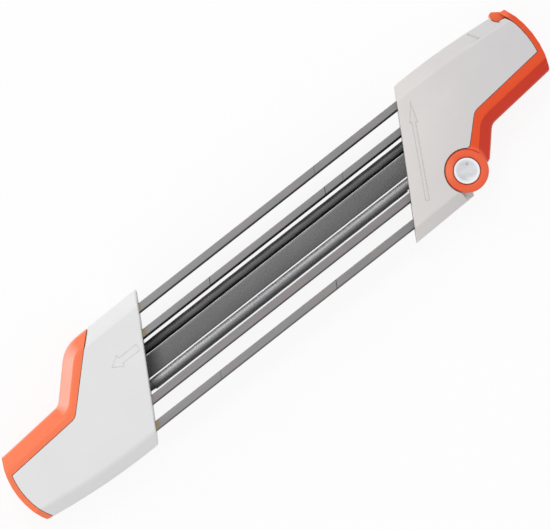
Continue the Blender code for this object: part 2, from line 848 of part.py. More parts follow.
def casing_screw(name, place, screw_material, parent):
    """A pan head screw driven up from the underside, with a cross in its head."""
    base = screw_head_depth
    shoulder = base + screw_head_height
    tip = overall_height - cavity_inset - screw_cover + shell_wall - seam_gap
    profile = [
        (0, tip),
        (screw_shank_radius / 2, tip),
        (screw_shank_radius, tip - screw_shank_radius),
        (screw_shank_radius, shoulder),
        (screw_head_radius, shoulder),
        (screw_head_radius, base + screw_head_height / 2),
        (screw_head_radius - screw_head_height / 2, base),
        (0, base),
    ]
    screw = turned(name, profile, parent, steps=16)
    half = screw_slot_width / 2
    reach = screw_head_radius * 2 / 3
    for number, (x, y) in enumerate(((reach, half), (half, reach)), 1):
        slot = box(f"{name}_slot_{number}", (-x, -y, -overrun), (x, y, base + screw_slot_depth), parent)
        slot.location = (*place, 0)
        combine(screw, slot)
    screw.location = (*place, 0)
    return finish(screw, screw_material)


def build():
    pale = material("pale_casing", (0.74, 0.735, 0.725), 0.45)
    pale_cap = material("pale_cap", (0.76, 0.78, 0.80), 0.35)
    orange_trim = material("orange_trim", (1.0, 0.21, 0.08), 0.4)
    orange_lever = material("orange_lever", (0.78, 0.075, 0.02), 0.4)
    rail_steel = material("rail_steel", (0.33, 0.33, 0.33), 0.35, 1.0)
    file_steel = material("file_steel", (0.16, 0.16, 0.165), 0.4, 1.0)
    screw_steel = material("screw_steel", (0.5, 0.5, 0.5), 0.3, 1.0)
    dark_plastic = material("dark_plastic", (0.05, 0.05, 0.05), 0.5)

    frame = group_at("frame")
    left = group_at("left_handle", turn=math.pi, parent=frame)
    right = group_at("right_handle", parent=frame)
    rooms = file_rooms(frame)

    left_body = casing("left_casing", trim_outline, left)
    part_shells(left_body, "left", pale, left)
    grip_trim(orange_trim, left)
    rail_plate(rail_steel, left)
    behind_plate = inner_wall + plate_thickness + 2 * seam_gap
    left_end = shank_length + tang_length + seat_back - cut_start
    file_seat("left_file_seat", trim_outline, behind_plate, left_end, dark_plastic, left, rooms)

    for name, (y, depth) in rail_places().items():
        guide_rail(name, y, depth, rail_steel, frame)
    finish(round_file("round_file_upper", round_file_offset, 0, frame), file_steel)
    finish(round_file("round_file_lower", -round_file_offset, 0, frame), file_steel)
    finish(flat_file("flat_file", 0, frame), file_steel)

    right_body = casing("right_casing", lever_outline, right)
    join(right_body, shaft_boss(right))
    for space in lever_room(right_body, right):
        combine(right_body, space)
    part_shells(right_body, "right", pale, right)
    behind_wall = inner_wall + seam_gap
    right_end = cut_end + seat_back
    file_seat("right_file_seat", lever_outline, behind_wall, right_end, dark_plastic, right, rooms)

    lever = latch_lever(orange_lever, right)
    shaft = cam_shaft(screw_steel, right)
    axis = Vector((*pivot, 0))
    for turning in (lever, shaft):
        turning.data.transform(Matrix.Translation(-axis))
        turning.location = axis
    pivot_cap("upper_pivot_cap", True, pale_cap, right)
    pivot_cap("lower_pivot_cap", False, pale_cap, right)

    for side, handle in (("left", left), ("right", right)):
        for number, place in enumerate(screw_places(), 1):
            casing_screw(f"{side}_screw_{number}", place, screw_steel, handle)


build()
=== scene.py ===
# %% [markdown]
# # A file guide for saw chain
#
# This tool sharpens a saw chain. Two moulded handles stand at the ends of four steel rails, and two round
# files and a flat file run between the rails. An orange lever on the right handle lets the files go. The
# measured parts come in first. Everything after them is looks: rounded edges, cut teeth and finishes.

# %% The measured parts
import json
import math

import bmesh
import bpy
from mathutils import Matrix, Vector
from mathutils.bvhtree import BVHTree

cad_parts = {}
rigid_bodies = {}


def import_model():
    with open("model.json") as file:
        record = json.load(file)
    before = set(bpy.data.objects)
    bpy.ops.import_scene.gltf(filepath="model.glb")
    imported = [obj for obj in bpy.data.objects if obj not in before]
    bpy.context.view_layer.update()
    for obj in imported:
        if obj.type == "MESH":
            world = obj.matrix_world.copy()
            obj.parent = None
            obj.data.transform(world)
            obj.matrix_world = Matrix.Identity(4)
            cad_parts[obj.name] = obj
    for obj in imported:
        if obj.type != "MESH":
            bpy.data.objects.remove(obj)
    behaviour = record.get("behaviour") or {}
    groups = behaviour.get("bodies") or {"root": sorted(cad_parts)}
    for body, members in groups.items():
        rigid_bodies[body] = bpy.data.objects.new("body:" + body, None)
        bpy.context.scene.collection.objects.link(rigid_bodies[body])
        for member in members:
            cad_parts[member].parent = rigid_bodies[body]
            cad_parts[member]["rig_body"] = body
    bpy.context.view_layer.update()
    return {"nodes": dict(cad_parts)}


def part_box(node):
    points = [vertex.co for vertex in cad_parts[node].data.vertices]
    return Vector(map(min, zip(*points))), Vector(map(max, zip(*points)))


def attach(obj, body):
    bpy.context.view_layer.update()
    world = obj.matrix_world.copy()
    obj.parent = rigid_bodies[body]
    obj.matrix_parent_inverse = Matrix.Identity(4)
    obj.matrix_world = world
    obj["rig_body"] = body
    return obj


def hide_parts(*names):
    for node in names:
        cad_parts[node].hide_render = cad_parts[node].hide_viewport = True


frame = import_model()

MM = 0.001
scene = bpy.context.scene


def in_mm(lengths):
    """Lengths in millimetres, rounded for printing."""
    return [round(length / MM, 2) for length in lengths]


# %% [markdown]
# ## The camera
#
# The photograph looks straight down on the tool from about three metres with a long lens, so hardly any
# perspective shows. The tool runs up to the right, which is a roll of the camera about its own axis. The
# camera stands a little to the right of the middle and looks back to it, because the photograph shows more
# of the left handle's inner face than of the right one's.

# %% The camera
ROLL = math.radians(38.15)
FRAME_WIDTH = 291.3 * MM  # what 550 pixels span at the height of the casings' upper edges
AIM = Vector((0, 1.2, 23.5)) * MM
STAND = Vector((10, 1.2, 3023.5)) * MM


def aim(thing, stand):
    """Puts the camera or a lamp at a place, looking at the tool, rolled as the photograph is."""
    back = (stand - AIM).normalized()
    across = Vector((math.cos(ROLL), -math.sin(ROLL), 0))
    right = (across - back * across.dot(back)).normalized()
    up = back.cross(right)
    thing.matrix_world = Matrix.Translation(stand) @ Matrix((right, up, back)).transposed().to_4x4()


lens = bpy.data.cameras.new("camera")
lens.sensor_width = 36
lens.lens = lens.sensor_width * (STAND - AIM).length / FRAME_WIDTH
lens.clip_end = 20
camera = bpy.data.objects.new("camera", lens)
scene.collection.objects.link(camera)
aim(camera, STAND)
scene.camera = camera
print("lens in mm:", round(lens.lens, 1))

# %% [markdown]
# ## Light
#
# The room is a pale tent, so most of the light comes evenly from all round. A softbox up and to the left
# gives the top faces a little more light than the slopes that face away, and a second one stands low at the
# left, where it puts the sheen on the rounded edges. The room's white is for rays that reach the camera
# directly or by a reflection: Light Path tells those from the rays that light the tool.

# %% Light
scene.view_settings.view_transform = "Standard"
LEFT = Vector((-math.cos(ROLL), math.sin(ROLL), 0))  # to the photograph's left
UP = Vector((math.sin(ROLL), math.cos(ROLL), 0))  # to its top
ROOM_GREY = (0.80, 0.80, 0.81, 1)


def softbox(name, stand, width, height, power):
    """A rectangular lamp that looks at the tool."""
    lamp = bpy.data.lights.new(name, "AREA")
    lamp.shape = "RECTANGLE"
    lamp.size, lamp.size_y = width, height
    lamp.energy = power
    holder = bpy.data.objects.new(name, lamp)
    scene.collection.objects.link(holder)
    aim(holder, stand)


softbox("softbox_above", LEFT * 0.4 + UP * 0.9 + Vector((0, 0, 1.6)), width=0.7, height=0.7, power=7)
softbox("softbox_low", LEFT * 1.5 + UP * 0.05 + Vector((0, 0, 0.17)), width=0.9, height=0.26, power=5)


def calculate(tree, operation, first, second):
    """One step of arithmetic between two values; each is a socket or a number."""
    step = tree.nodes.new("ShaderNodeMath")
    step.operation = operation
    for socket, value in zip(step.inputs, (first, second)):
        if isinstance(value, (int, float)):
            socket.default_value = value
        else:
            tree.links.new(value, socket)
    return step.outputs[0]


def seen_directly(tree):
    """1 for rays from the camera, and for what they show by a mirror or through glass."""
    path = tree.nodes.new("ShaderNodeLightPath")
    either = calculate(tree, "MAXIMUM", path.outputs["Is Camera Ray"], path.outputs["Is Glossy Ray"])
    return calculate(tree, "MAXIMUM", either, path.outputs["Is Transmission Ray"])


def white_where_seen(tree, lit, output, share):
    """Mixes a share of plain white over a lit shader for the rays that show it."""
    kind = "ShaderNodeBackground" if output == "World Output" else "ShaderNodeEmission"
    white = tree.nodes.new(kind)
    white.inputs["Color"].default_value = (1, 1, 1, 1)
    blend = tree.nodes.new("ShaderNodeMixShader")
    tree.links.new(calculate(tree, "MULTIPLY", seen_directly(tree), share), blend.inputs[0])
    tree.links.new(tree.nodes[lit].outputs[0], blend.inputs[1])
    tree.links.new(white.outputs[0], blend.inputs[2])
    tree.links.new(blend.outputs[0], tree.nodes[output].inputs["Surface"])


world = bpy.data.worlds.new("tent")
scene.world = world
world.use_nodes = True
world.node_tree.nodes["Background"].inputs["Color"].default_value = ROOM_GREY
white_where_seen(world.node_tree, "Background", "World Output", 1.0)

# %% [markdown]
# ## Floor
#
# The tool lies on a sheet of pale paper. A part of the paper's own shading stays under the white, so the
# soft shadow close to the tool is kept.

# %% Floor
PAPER_WHITE = 0.88  # how much of its look is plain white
bpy.ops.object.select_all(action="DESELECT")
bpy.ops.mesh.primitive_plane_add(size=6, location=(0, 0, -0.2 * MM))
floor = bpy.context.object
floor.name = "floor"
paper = bpy.data.materials.new("paper")
paper.use_nodes = True
sheet = paper.node_tree.nodes["Principled BSDF"]
sheet.inputs["Base Color"].default_value = (0.9, 0.9, 0.9, 1)
sheet.inputs["Roughness"].default_value = 0.9
white_where_seen(paper.node_tree, "Principled BSDF", "Material Output", PAPER_WHITE)
floor.data.materials.append(paper)
print("floor at z in mm:", round(floor.location.z / MM, 2))

# %% [markdown]
# ## Soft edges on the mouldings
#
# Moulded plastic has no sharp edges. The measured casings do, so each gets a rounded copy. Rounding every
# edge alike would lose the character of the real one, where the line between a slope and a flat face is wide
# and soft, and the other edges are only just broken. The Bevel modifier can take its width from a weight on
# each edge, so the edges are sorted in code, as one would pick them by eye: wide where a slope begins or ends
# and at the tips of the handles' inner faces, medium round those faces and on the upright corners of the
# orange pieces, and narrow elsewhere. Edges inside the casing stay as they are. The copy is loose triangles
# at first, so it is merged and its flat faces are joined.

# %% Sorting the edges
CREST = 1.6 * MM  # where a slope meets a flat face
CORNER = 1.0 * MM  # upright corners of the orange pieces
RIM = 0.8 * MM  # round the faces that the rails come out of
TIP = 1.6 * MM  # corners at the two ends of those faces
BROKEN = 0.25 * MM  # other outer edges
SEAM = 0.1 * MM  # the left handle's, whose trim is moulded on and fits closer than the lever
LEAST_TURN = math.radians(28)  # flatter edges aren't rounded
GUIDE_ANGLE = math.radians(30)  # between the handles' inner faces and the rails' ends
INNER_FACE = Vector((math.cos(GUIDE_ANGLE), -math.sin(GUIDE_ANGLE), 0))
MID_LEVEL = 15 * MM  # half of the tool's thickness
SLOTS = 8 * MM  # the rims are further than this above or below it
FAR_OUT = 31 * MM  # the tips are further than this to one side
HAIR = 0.02 * MM  # too little to see
FOLD_SHARE = 0.8  # of the width at which an edge would fold
FACE_SHARE = 0.46  # of the narrower face beside an edge
RUN_OUT = 1.4  # how many times as wide as the next an edge may be


def alone(piece):
    """Selects one piece and nothing else, and makes it active."""
    bpy.ops.object.select_all(action="DESELECT")
    piece.select_set(True)
    bpy.context.view_layer.objects.active = piece


def merged_copy(name):
    """A copy of a measured part, with its triangles joined into whole faces."""
    piece = bpy.data.objects.new(name + "_moulding", frame["nodes"][name].data.copy())
    scene.collection.objects.link(piece)
    alone(piece)
    bpy.ops.object.mode_set(mode="EDIT")
    bpy.ops.mesh.select_all(action="SELECT")
    bpy.ops.mesh.remove_doubles(threshold=HAIR)
    bpy.ops.mesh.dissolve_limited(angle_limit=math.radians(1))
    bpy.ops.object.mode_set(mode="OBJECT")
    return piece


def middle(edge):
    """The middle of an edge."""
    return (edge.verts[0].co + edge.verts[1].co) / 2


def is_crest(edge):
    """Whether this is the line between a slope and a flat or upright face."""
    slopes = [0.3 < abs(face.normal.z) < 0.9 for face in edge.link_faces]
    return any(slopes) and edge.calc_face_angle(0) < math.radians(62)


def breadth(edge):
    """How broad the narrower face beside an edge is."""
    return min(face.calc_area() for face in edge.link_faces) / edge.calc_length()


def at_inner_face(edge):
    """Whether this edge is on a face that the rails come out of."""
    return any(abs(face.normal.dot(INNER_FACE)) > 0.99 for face in edge.link_faces)


def is_rim(edge):
    """Whether this is the outer rim of such a face."""
    return at_inner_face(edge) and abs(middle(edge).z - MID_LEVEL) > SLOTS


def is_tip(edge):
    """Whether this is a corner at such a face's end: upright or slanting, and far out to one side."""
    rise = abs(edge.verts[0].co.z - edge.verts[1].co.z)
    return at_inner_face(edge) and abs(middle(edge).y) > FAR_OUT and rise > MM


def folding_width(edge, line):
    """The rounding at which an edge in a curved line of edges would shrink to nothing."""
    tangents = 0.0
    for vertex in edge.verts:
        ahead = edge.other_vert(vertex).co - vertex.co
        for other in vertex.link_edges:
            if other is not edge and other in line:
                turn = math.pi - ahead.angle(other.other_vert(vertex).co - vertex.co)
                tangents += math.tan(min(turn, 2.6) / 2)
    return edge.calc_length() / max(tangents, 0.01)


def edge_widths(data, corner_turn, broken, rim):
    """The width of rounding for each edge of a mesh that gets any, and where the edge's ends are."""
    mesh = bmesh.new()
    mesh.from_mesh(data)
    tree = BVHTree.FromBMesh(mesh)
    widths, crests = {}, set()
    for edge in mesh.edges:
        if len(edge.link_faces) != 2 or not edge.is_convex or edge.calc_face_angle(0) < LEAST_TURN:
            continue
        outward = (edge.link_faces[0].normal + edge.link_faces[1].normal).normalized()
        if tree.ray_cast(middle(edge) + outward * HAIR, outward, 0.2)[0] is not None:
            continue  # something is in front of it, so it is inside
        widths[edge] = rim if is_rim(edge) else broken
        if rim > broken and is_tip(edge):
            widths[edge] = TIP
        elif is_crest(edge):
            widths[edge] = CREST
            crests.add(edge)
        elif all(abs(f.normal.z) < 0.1 for f in edge.link_faces) and edge.calc_face_angle(0) > corner_turn:
            widths[edge] = CORNER
    for edge in crests:
        widths[edge] = min(CREST, FOLD_SHARE * folding_width(edge, crests), FACE_SHARE * breadth(edge))
    for _ in range(3):
        before = dict(widths)
        for edge in crests:
            beside = [before[e] for v in edge.verts for e in v.link_edges if e in crests]
            widths[edge] = min(before[edge], RUN_OUT * min(beside))
    plain = {edge.index: [width, [v.co.copy() for v in edge.verts]] for edge, width in widths.items()}
    mesh.free()
    return plain


# %% [markdown]
# The weights are shares of the modifier's width. Where a wide rounding meets a thin wedge, a face can fold
# over itself, and the sign of it is an outline that doubles back. The rounding is made narrower there and
# tried again, as one would by hand. After it, the flat faces must stay flat in the light while the rounding
# takes all of the turn, which is what the Weighted Normal modifier sees to.

# %% Rounding the mouldings
OVERLAP = 0.03 * MM**2  # the area by which a folded face's triangles exceed it
SHARP = math.radians(115)  # a turn in its outline that doubles back
FEW = 12  # with no such turn, all its corners count, if it has no more than these
BESIDE_FOLD = 2.4 * MM
NARROWER = 0.6
TRIES = 12


def modify(piece, kind, **settings):
    """Adds a modifier, sets it and applies it."""
    bpy.context.view_layer.objects.active = piece
    modifier = piece.modifiers.new(kind.lower(), kind)
    for key, value in settings.items():
        setattr(modifier, key, value)
    bpy.ops.object.modifier_apply(modifier=modifier.name)


def stand_for(piece, node):
    """Makes a finished piece ride and show in place of a measured part."""
    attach(piece, frame["nodes"][node]["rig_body"])
    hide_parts(node)
    return piece


def round_edges(piece, widths):
    """Rounds a piece's edges to the widths given for them."""
    weight = piece.data.attributes.new("bevel_weight_edge", "FLOAT", "EDGE")
    for index, (width, _) in widths.items():
        weight.data[index].value = width / CREST
    modify(piece, "BEVEL", limit_method="WEIGHT", width=CREST, segments=4, use_clamp_overlap=False)


def folded_corners(data, low, high):
    """Corners at which a folded face doubles back, and any that stand out of the plain part's box."""
    data.calc_loop_triangles()
    area = [0.0] * len(data.polygons)
    for triangle in data.loop_triangles:
        area[triangle.polygon_index] += triangle.area
    found = [vertex.co.copy() for vertex in data.vertices if any(
        not low[axis] - HAIR / 2 <= vertex.co[axis] <= high[axis] + HAIR / 2 for axis in range(3))]
    for face in data.polygons:
        if area[face.index] < face.area + OVERLAP:
            continue
        points = [data.vertices[index].co.copy() for index in face.vertices]
        turns = zip(points[-1:] + points[:-1], points, points[1:] + points[:1])
        sharp = [here for before, here, after in turns if (here - before).angle(after - here, 0) > SHARP]
        found += sharp or (points if len(points) <= FEW else [])
    return found


def soften(name, corner_turn=math.pi):
    """A rounded copy of a moulding, that stands for the measured part."""
    piece = merged_copy(name)
    plain = piece.data
    is_shell = name.endswith("shell")
    broken = SEAM if is_shell and name.startswith("left") else BROKEN
    widths = edge_widths(plain, corner_turn, broken, RIM if is_shell else broken)
    for attempt in range(TRIES):
        piece.data = plain.copy()
        round_edges(piece, widths)
        folds = folded_corners(piece.data, *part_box(name))
        if not folds:
            break
        for entry in widths.values():
            if any((end - fold).length < BESIDE_FOLD for end in entry[1] for fold in folds):
                entry[0] *= NARROWER
    print(name, "tries:", attempt + 1, "folds left:", len(folds))
    return stand_for(piece, name)


mouldings = {}
for name in ("left_upper_shell", "left_lower_shell", "right_upper_shell", "right_lower_shell"):
    mouldings[name] = soften(name)
for name in ("left_grip_trim", "latch_lever"):
    mouldings[name] = soften(name, math.radians(40))

# %% [markdown]
# ## Modelling by hand
#
# The steel pieces are all made the same way: a primitive is put at its size and place, faces and edges are
# picked in code by where they are, and edit-mode operators shape them. These helpers do that.

# %% Helpers for modelling
def begin(make, name, **settings):
    """Adds a primitive, alone in the selection, and gives it a name."""
    bpy.ops.object.select_all(action="DESELECT")
    make(**settings)
    piece = bpy.context.object
    piece.name = name
    piece.data.name = name
    return piece


def pick(piece, kind, wanted=lambda element: True):
    """Starts edit mode and selects the vertices, edges or faces for which wanted says yes."""
    alone(piece)
    bpy.ops.object.mode_set(mode="EDIT")
    bpy.ops.mesh.select_mode(type=kind)
    bpy.ops.mesh.select_all(action="DESELECT")
    mesh = bmesh.from_edit_mesh(piece.data)
    count = 0
    for element in {"VERT": mesh.verts, "EDGE": mesh.edges, "FACE": mesh.faces}[kind]:
        if wanted(element):
            element.select = True
            count += 1
    mesh.select_flush_mode()
    bmesh.update_edit_mesh(piece.data)
    return count


def done():
    """Leaves edit mode."""
    bpy.ops.object.mode_set(mode="OBJECT")


def settle(piece):
    """Puts a piece's place, turn and size into its mesh."""
    alone(piece)
    bpy.ops.object.transform_apply(location=True, rotation=True, scale=True)


def draw_out(move, scale, **about):
    """Extrudes what is picked by a move, and scales the new end."""
    bpy.ops.mesh.extrude_region_move(TRANSFORM_OT_translate={"value": move})
    bpy.ops.transform.resize(value=scale, **about)


def repeat(piece, count, step):
    """Repeats a slice and joins the copies where they meet."""
    modify(
        piece, "ARRAY", count=count, use_relative_offset=False, use_constant_offset=True,
        constant_offset_displace=step, use_merge_vertices=True, merge_threshold=0.01 * MM,
    )


def cut_away(piece, cutter):
    """Cuts another piece out of this one, and removes it."""
    modify(piece, "BOOLEAN", object=cutter, operation="DIFFERENCE", solver="EXACT")
    bpy.data.objects.remove(cutter)


def face_outwards(piece):
    """Turns the faces of a closed piece outwards."""
    pick(piece, "FACE")
    bpy.ops.mesh.normals_make_consistent(inside=False)
    done()


def smooth_shading(piece, weight):
    """Smooth light over the rounding, flat light on the flat faces."""
    alone(piece)
    bpy.ops.object.shade_smooth_by_angle(angle=math.radians(32))
    modify(piece, "WEIGHTED_NORMAL", keep_sharp=True, weight=weight)


def describe(piece):
    """Prints a piece's size, its faces and its open edges, of which a closed piece has none."""
    mesh = bmesh.new()
    mesh.from_mesh(piece.data)
    gaps = sum(not edge.is_manifold for edge in mesh.edges)
    print(piece.name, in_mm(piece.dimensions), "mm, faces:", len(mesh.faces), "open edges:", gaps)
    mesh.free()


# %% [markdown]
# ## Marks in the casings
#
# Each handle has a fine outline moulded into its top. Here both are plain arrows, cut in as grooves, so that
# nothing stands out of the casing's box. An arrow starts as a circle of seven corners, which are moved to the
# arrow's corners and filled. Inset leaves the band that the groove follows, and a Boolean cuts it. The same
# Boolean cuts the short slit in the slope beside the lever's hook. Only then does the shading go on.

# %% Arrows and slit
GROOVE = 0.45 * MM
GROOVE_DEPTH = 0.3 * MM
ABOVE = 0.1 * MM  # how far an arrow's cutter starts above the casing
CASING_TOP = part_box("left_upper_shell")[1].z
SLIT_WIDTH, SLIT_HEIGHT = 1.8 * GROOVE, 3 * GROOVE_DEPTH  # half of the height is in the casing
STRAY = 0.03 * MM  # a few bevel corners stand out of the box by less than this


def arrow_corners(tail, tip, head_width, shaft_width, head_length):
    """The seven corners of an arrow between two points."""
    ahead = (tip - tail).normalized()
    across = Vector((-ahead.y, ahead.x, 0))
    neck = tip - ahead * head_length
    side = [(tail, shaft_width), (neck, shaft_width), (neck, head_width)]
    left = [place + across * width / 2 for place, width in side]
    right = [place - across * width / 2 for place, width in reversed(side)]
    return left + [tip] + right


def groove_arrow(piece, corners):
    """Cuts an arrow's outline into the flat top of a moulding."""
    cutter = begin(bpy.ops.mesh.primitive_circle_add, "arrow", vertices=len(corners), radius=MM)
    for vertex, place in zip(cutter.data.vertices, corners):
        vertex.co = (place.x, place.y, CASING_TOP + ABOVE)
    pick(cutter, "EDGE")
    bpy.ops.mesh.edge_face_add()
    bpy.ops.mesh.inset(thickness=GROOVE)
    bpy.ops.mesh.delete(type="FACE")
    done()
    pick(cutter, "FACE")
    bpy.ops.mesh.extrude_region_move(TRANSFORM_OT_translate={"value": (0, 0, -ABOVE - GROOVE_DEPTH)})
    done()
    face_outwards(cutter)
    cut_away(piece, cutter)


def cut_slit(piece, *ends):
    """Cuts a straight groove into a moulding's upper surface, from one x and y to another."""
    down = Vector((0, 0, -1))
    start, end = [piece.ray_cast(Vector((x, y, 50 * MM)), down)[1] for x, y in ends]
    cutter = begin(bpy.ops.mesh.primitive_cube_add, "slit", size=1)
    cutter.scale = ((end - start).length, SLIT_WIDTH, SLIT_HEIGHT)
    cutter.rotation_euler = (end - start).to_track_quat("X", "Z").to_euler()
    cutter.location = (start + end) / 2
    settle(cutter)
    cut_away(piece, cutter)


groove_arrow(mouldings["left_upper_shell"], arrow_corners(
    tail=Vector((-83.7, 11.5, 0)) * MM, tip=Vector((-101.8, 11.5, 0)) * MM,
    head_width=8 * MM, shaft_width=4 * MM, head_length=6.5 * MM))
groove_arrow(mouldings["right_upper_shell"], arrow_corners(
    tail=Vector((84.3, -22.2, 0)) * MM, tip=Vector((109.7, 25.3, 0)) * MM,
    head_width=4.6 * MM, shaft_width=2.4 * MM, head_length=12 * MM))
cut_slit(mouldings["right_upper_shell"], (155.4 * MM, 34.0 * MM), (158.5 * MM, 28.5 * MM))
for name, piece in mouldings.items():
    low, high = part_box(name)
    for limit, way in ((low.y, 1), (high.y, -1)):
        if pick(piece, "VERT", lambda vertex: (limit - vertex.co.y) * way > 1e-6):
            bpy.ops.transform.translate(value=(0, way * STRAY, 0))
        done()
    smooth_shading(piece, 100)
    describe(piece)

# %% [markdown]
# ## Rails
#
# The rails are ground flat bars. Seen from above, each one's edge towards the photograph's top is crisp. The
# other one is more rounded and reads as a dark line, wider on the two upper rails. So the four long edges get
# different bevels. Fine lines at the filing angle are cut across the top, against which the chain's links are
# held. They are real cuts here, made with a Boolean.

# %% Rails
MARK_WIDTH = 0.3 * MM
MARK_DEPTH = 0.25 * MM
FAINT = 0.13 * MM  # the depth of marks that hardly show
CRISP = 0.25 * MM
BELOW = 0.4 * MM
END_INSET, END_GROWTH = 0.35 * MM, 0.5 * MM  # both ends are blunted, and together stand out by this


def long_edge(side, top):
    """Picks a bar's lengthwise edge on one side (1 is +Y), at the top or the bottom."""
    def wanted(edge):
        start, end = (vertex.co for vertex in edge.verts)
        lengthwise = abs(start.y - end.y) + abs(start.z - end.z) < 1e-6
        return lengthwise and middle(edge).y * side > 0 and (middle(edge).z > 0) == top
    return wanted


def make_rail(node, worn, marks):
    """A ground bar, its top edge on the -Y side rounded to worn; marks are x in mm to depth."""
    low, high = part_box(node)
    size, centre = high - low, (high + low) / 2
    bar = begin(bpy.ops.mesh.primitive_cube_add, node + "_bar", size=1)
    bar.scale = size
    settle(bar)
    for side, top, width in ((1, True, CRISP), (-1, True, worn), (1, False, BELOW), (-1, False, BELOW)):
        pick(bar, "EDGE", long_edge(side, top))
        bpy.ops.mesh.bevel(offset=width, segments=4)
        done()
    pick(bar, "FACE", lambda face: abs(face.normal.x) > 0.9)
    bpy.ops.mesh.inset(thickness=END_INSET)
    bpy.ops.transform.resize(value=(1 + END_GROWTH / size.x, 1, 1))
    done()
    bar.location = centre
    settle(bar)
    for x, depth in marks.items():
        line = begin(bpy.ops.mesh.primitive_cube_add, "mark", size=1)
        line.scale = (MARK_WIDTH, 2 * size.y, 2 * depth)
        line.rotation_euler.z = -GUIDE_ANGLE
        line.location = (x * MM, centre.y, high.z)
        settle(line)
        cut_away(bar, line)
    smooth_shading(bar, 50)
    describe(bar)
    return stand_for(bar, node)


rails = [
    make_rail("outer_rail_upper", 1.3 * MM, {47.0: FAINT}),
    make_rail("inner_rail_upper", 1.5 * MM, {-32.9: MARK_DEPTH, 44.8: MARK_DEPTH, 56.7: FAINT}),
    make_rail("inner_rail_lower", 1.2 * MM, {}),
    make_rail("outer_rail_lower", 1.1 * MM, {-58.8: FAINT, 19.1: MARK_DEPTH}),
]

# %% [markdown]
# ## Round files
#
# A round file's teeth are cut along a spiral, so bands of light wind slowly round it. One tooth is modelled:
# a ring of 48 corners, slightly lobed, is drawn up into a ramp and dropped back. The Array modifier repeats
# it along the cut length and Simple Deform twists the row, which turns the lobes into the winding bands. The
# ramps rise towards the tip, because a file cuts when it is pushed.

# %% One tooth, repeated and twisted
PITCH = 0.8 * MM
CUT_LENGTH = 200.0 * MM
TEETH = round(CUT_LENGTH / PITCH)
TOOTH_HEIGHT = 0.11 * MM
RAMP, DROP = 0.68, 0.32  # shares of the pitch
LOBE = 0.985
TWIST = math.radians(600)
file_low, file_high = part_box("round_file_upper")
crown = (file_high.z - file_low.z) / 2
root = crown - TOOTH_HEIGHT
round_file = begin(bpy.ops.mesh.primitive_circle_add, "round_file_upper_cut", vertices=48, radius=root)
pick(round_file, "VERT", lambda vertex: vertex.index % 6 in (1, 2, 3))
bpy.ops.transform.resize(value=(LOBE, LOBE, 1), center_override=(0, 0, 0))
done()
pick(round_file, "EDGE")
for share, top, scale in ((RAMP, RAMP, crown / root), (DROP, 1, root / crown)):
    draw_out((0, 0, share * PITCH), (scale, scale, 1), center_override=(0, 0, top * PITCH))
done()
repeat(round_file, TEETH, (0, 0, PITCH))
modify(round_file, "SIMPLE_DEFORM", deform_method="TWIST", deform_axis="Z", angle=TWIST)
print("teeth:", TEETH)

# %% [markdown]
# The neck and the tang are drawn out of the last ring in rings that are scaled as they go, and each open end
# is closed with one face. A file is turned to lie along the tool and moved to its axis. The second one is a
# copy with its own mesh. Between the handles both are made a little fuller, as the photograph shows them.

# %% Neck, tang and place
NECK = 4.7 / 5.5
TANG_TIP = 2.0 / 4.7
# Steps back in mm, and their scales: the shoulder, neck, its end, tang and tip.
NECK_STEPS = ((0.0, NECK), (7.4, 1.0), (0.6, 0.93), (28.5, TANG_TIP), (1.1, 0.55))


def at_height(height):
    """Picks edges that lie at a height."""
    return lambda edge: all(abs(vertex.co.z - height) < 0.01 * MM for vertex in edge.verts)


def make_fuller(piece, start, end, low_y, high_y):
    """Widens a file between two x until it reaches from one y to another."""
    sides = [vertex.co.y for vertex in piece.data.vertices]
    now_low, now_high = min(sides), max(sides)
    pick(piece, "VERT", lambda vertex: start < vertex.co.x < end)
    bpy.ops.transform.resize(value=(1, (high_y - low_y) / (now_high - now_low), 1))
    bpy.ops.transform.translate(value=(0, (low_y + high_y - now_low - now_high) / 2, 0))
    done()


pick(round_file, "EDGE", at_height(0))
for step, scale in NECK_STEPS:
    draw_out((0, 0, -step * MM), (scale, scale, 1))
bpy.ops.mesh.edge_face_add()
done()
pick(round_file, "EDGE", at_height(CUT_LENGTH))
bpy.ops.mesh.edge_face_add()
done()
face_outwards(round_file)
round_file.rotation_euler.y = math.radians(90)
round_file.location = (
    file_high.x - CUT_LENGTH, (file_low.y + file_high.y) / 2, (file_low.z + file_high.z) / 2)
settle(round_file)
second_file = round_file.copy()
second_file.data = round_file.data.copy()
second_file.name = "round_file_lower_cut"
scene.collection.objects.link(second_file)
low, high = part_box("round_file_lower")
second_file.location.y = (low.y + high.y) / 2 - (file_low.y + file_high.y) / 2
settle(second_file)
make_fuller(round_file, -86.5 * MM, 92.5 * MM, 5.45 * MM, 11.35 * MM)
make_fuller(second_file, -92.5 * MM, 79.5 * MM, -12.1 * MM, -5.85 * MM)
describe(stand_for(round_file, "round_file_upper"))
describe(stand_for(second_file, "round_file_lower"))

# %% [markdown]
# ## Flat file
#
# The flat file is single cut: straight teeth slant across both broad faces, and its narrow edges are smooth
# so that they don't wear the rails. One slice is modelled, slanted and repeated. Bisect trims the slanted
# ends square, and the shoulders and the tang are drawn out of the near end. Between the handles the narrow
# edges stand a little further out than on the measured part, as the photograph shows them.

# %% Flat file
FLAT_PITCH = 0.85 * MM
SLANT = math.tan(math.radians(25))
TOOTH = 0.1 * MM
SHOWN = 90.5 * MM  # half of the length that shows
low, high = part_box("flat_file")
width, thickness = high.y - low.y, high.z - low.z
core = thickness - 2 * TOOTH
cut_start = file_high.x - CUT_LENGTH
slices = math.ceil((high.x - cut_start + SLANT * width) / FLAT_PITCH) + 2


def is_joint(face):
    """Whether a face of the first slice is one of the two at which slices meet."""
    x = face.calc_center_median().x
    return abs(face.normal.x) > 0.9 and (abs(x) < 0.1 * MM or x > 0.9 * FLAT_PITCH)


